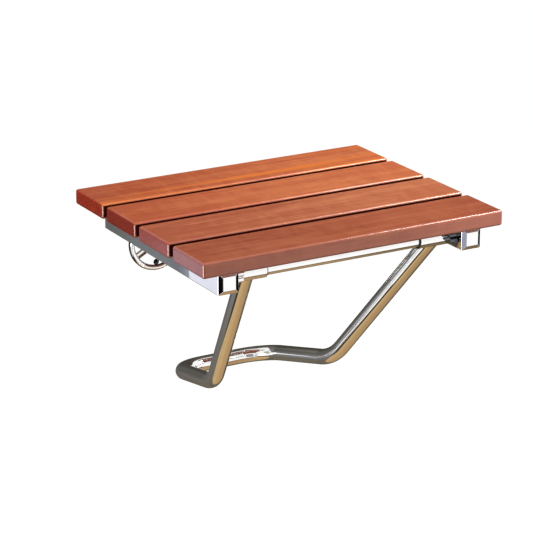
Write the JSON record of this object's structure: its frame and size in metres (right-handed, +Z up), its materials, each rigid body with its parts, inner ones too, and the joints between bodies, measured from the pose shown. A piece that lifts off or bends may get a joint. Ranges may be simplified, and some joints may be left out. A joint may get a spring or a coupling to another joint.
{
  "type": "fold down wall seat",
  "caption": "Wall seat of wooden slats on a steel frame that folds up against the wall, with a bent tube leg that bears on the wall below.",
  "frame": {"origin": "on the wall face, midway between the two wall flanges, at the height of their centres", "axes": "+X to the right seen from the front, +Y into the wall, +Z up; the seat reaches forward along -Y"},
  "size_m": [0.38, 0.323, 0.2565],
  "materials": {
    "slat_wood": "oiled red brown hardwood, satin",
    "rail_steel": "polished stainless steel",
    "tube_steel": "mirror polished stainless steel",
    "cap_chrome": "bright chrome",
    "flange_chrome": "mirror polished",
    "screw_zinc": "bright zinc",
    "bush_nylon": "black nylon"
  },
  "bodies": {
    "wall_mount": {"wall_flange_left": "flange_chrome", "wall_flange_right": "flange_chrome", "hinge_bracket_left": "tube_steel", "hinge_bracket_right": "tube_steel", "hinge_bushes": "bush_nylon"},
    "seat": {"slat_rear": "slat_wood", "slat_middle_rear": "slat_wood", "slat_middle_front": "slat_wood", "slat_front": "slat_wood", "rail_left": "rail_steel", "rail_right": "rail_steel", "front_cap_left": "cap_chrome", "front_cap_right": "cap_chrome", "rear_cap_left": "cap_chrome", "rear_cap_right": "cap_chrome", "hinge_shaft": "tube_steel", "front_bar": "tube_steel", "slat_screws": "screw_zinc", "stop_pins": "tube_steel"},
    "leg": {"leg_tube": "tube_steel", "leg_sleeve_left": "tube_steel", "leg_sleeve_right": "tube_steel", "leg_bushes": "bush_nylon", "stop_lugs": "tube_steel"}
  },
  "joints": [
    {"name": "seat_fold", "type": "hinge", "parent": "wall_mount", "child": "seat", "pos_m": [0, -0.0555, 0.0535], "axis": [-1, 0, 0], "range_deg": [0, 90]},
    {"name": "leg_swing", "type": "hinge", "parent": "seat", "child": "leg", "pos_m": [0, -0.288, 0.0535], "axis": [1, 0, 0], "range_deg": [0, 38]}
  ],
  "couplings": [
    {"joint": "leg_swing", "follows": "seat_fold", "ratio": 0.4222}
  ]
}
